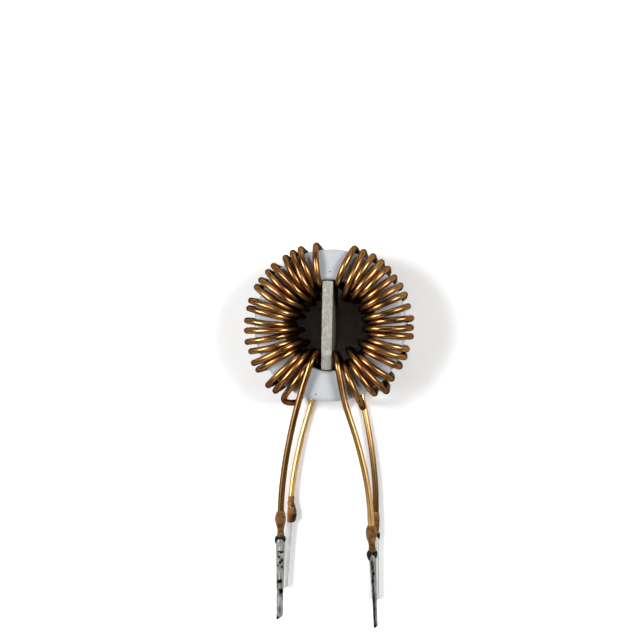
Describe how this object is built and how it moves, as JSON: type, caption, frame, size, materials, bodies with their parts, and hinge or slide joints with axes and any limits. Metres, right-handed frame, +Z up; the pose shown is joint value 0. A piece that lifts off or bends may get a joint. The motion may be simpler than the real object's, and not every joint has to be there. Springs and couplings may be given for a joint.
{
  "type": "toroidal inductor",
  "caption": "Toroidal inductor: white-coated ferrite ring with separate copper windings on its two halves, an insulating plate across the bore and long tinned leads.",
  "frame": {"origin": "middle of the part's length and width, on the surface it lies on", "axes": "+Z up along the ring's axis, out of the side seen in the picture; +Y from the leads' tips to the ring; +X to the right"},
  "size_m": [0.0286, 0.0634, 0.0149],
  "materials": {
    "ferrite": "matt sintered ceramic",
    "white_coating": "satin epoxy coat",
    "laminate": "matt fibre laminate",
    "enamelled_copper": "glossy clear enamel over copper",
    "burnt_varnish": "glossy, swollen and burnt",
    "char": "matt soot",
    "tin": "dull solder with dark spots"
  },
  "bodies": {
    "root": {"ferrite_core": "ferrite", "core_coating": "white_coating", "divider_plate": "laminate", "winding_left": "enamelled_copper", "winding_right": "enamelled_copper", "lead_front_left": "enamelled_copper", "lead_rear_left": "enamelled_copper", "lead_front_right": "enamelled_copper", "lead_rear_right": "enamelled_copper", "varnish_bead_front_left": "burnt_varnish", "varnish_bead_rear_left": "burnt_varnish", "varnish_bead_front_right": "burnt_varnish", "varnish_bead_rear_right": "burnt_varnish", "charred_collar_front_left": "char", "charred_collar_rear_left": "char", "charred_collar_front_right": "char", "charred_collar_rear_right": "char", "tinned_end_front_left": "tin", "tinned_end_rear_left": "tin", "tinned_end_front_right": "tin", "tinned_end_rear_right": "tin"}
  },
  "joints": []
}
